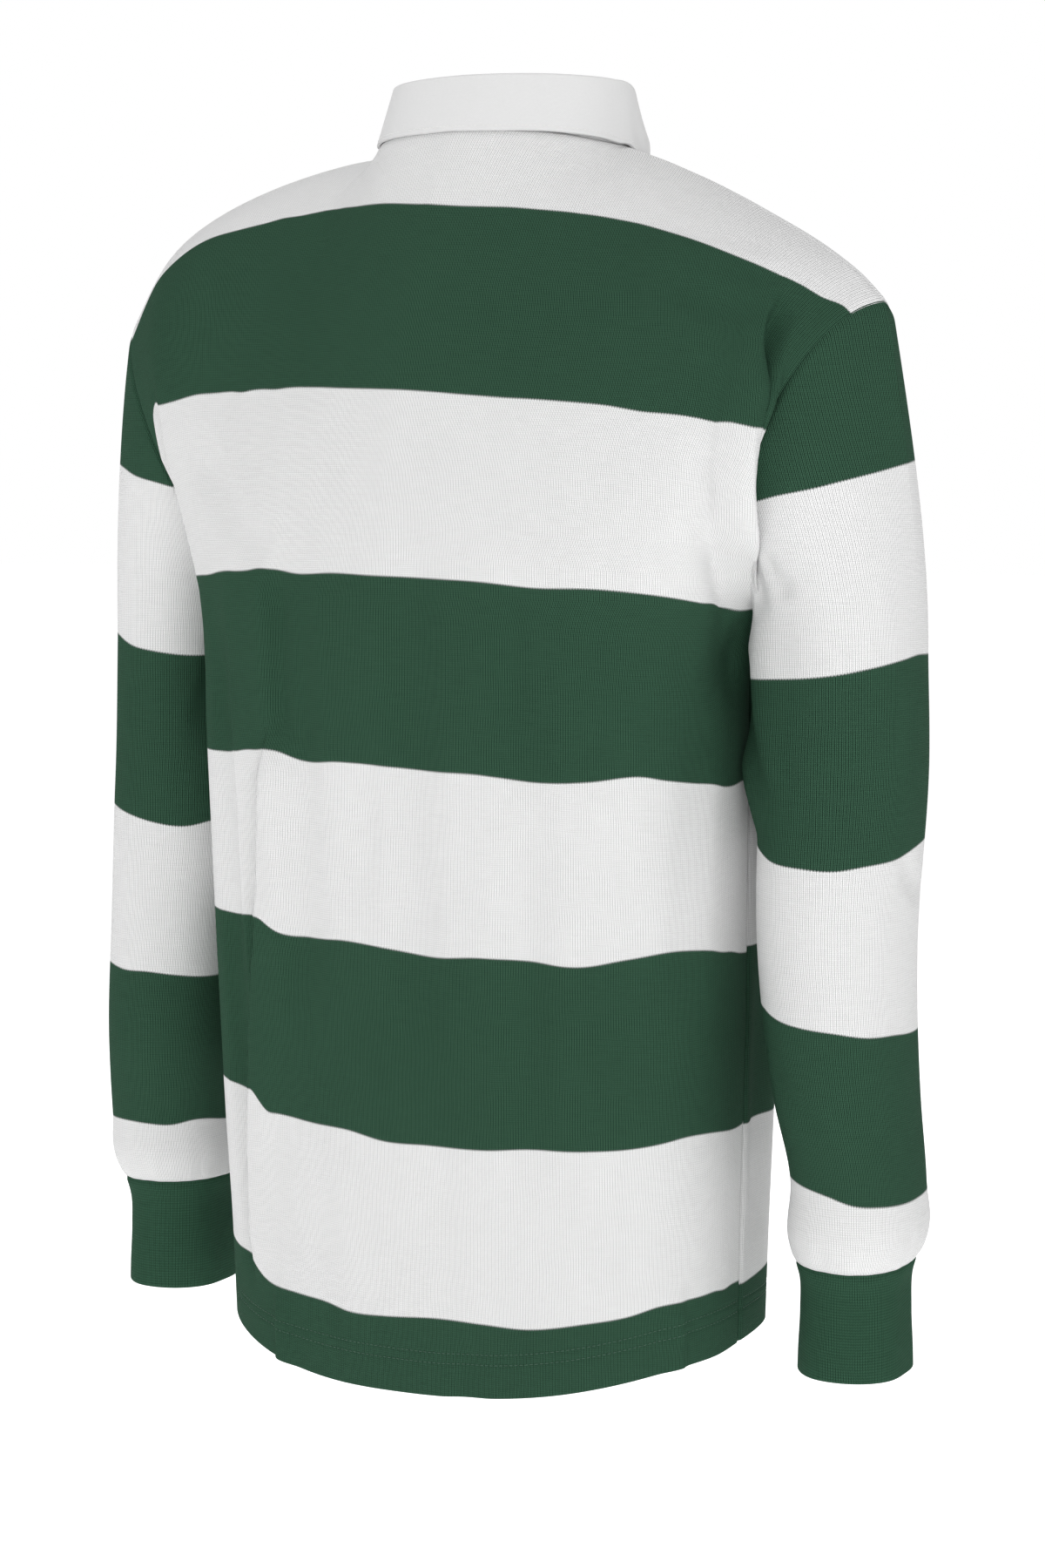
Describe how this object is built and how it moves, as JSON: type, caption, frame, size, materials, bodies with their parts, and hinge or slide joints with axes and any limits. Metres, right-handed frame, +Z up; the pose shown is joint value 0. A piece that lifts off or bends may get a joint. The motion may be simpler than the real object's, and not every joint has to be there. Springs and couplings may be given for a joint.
{
  "type": "rugby shirt",
  "caption": "Long-sleeved rugby shirt with broad green and white hoops, a folded white collar and rib cuffs, filled out as if worn.",
  "frame": {"origin": "on the neck's axis, level with the neck seam at the centre back: the place where the wearer holds the shirt", "axes": "+Z up, the front faces -Y, the wearer's left is +X"},
  "size_m": [0.5492, 0.255, 0.7553],
  "materials": {
    "green_jersey": "matte heavy cotton jersey, hooped in green and white",
    "green_rib": "matte rib knit",
    "white_twill": "smooth woven cotton twill",
    "white_rubber": "matte rubber"
  },
  "bodies": {
    "root": {"back": "green_jersey", "front": "green_jersey", "sleeve_right": "green_jersey", "sleeve_left": "green_jersey", "cuff_right": "green_rib", "cuff_left": "green_rib", "collar": "white_twill", "placket_outer": "white_twill", "placket_under": "white_twill", "button_top": "white_rubber", "button_middle": "white_rubber", "button_low": "white_rubber"}
  },
  "joints": []
}
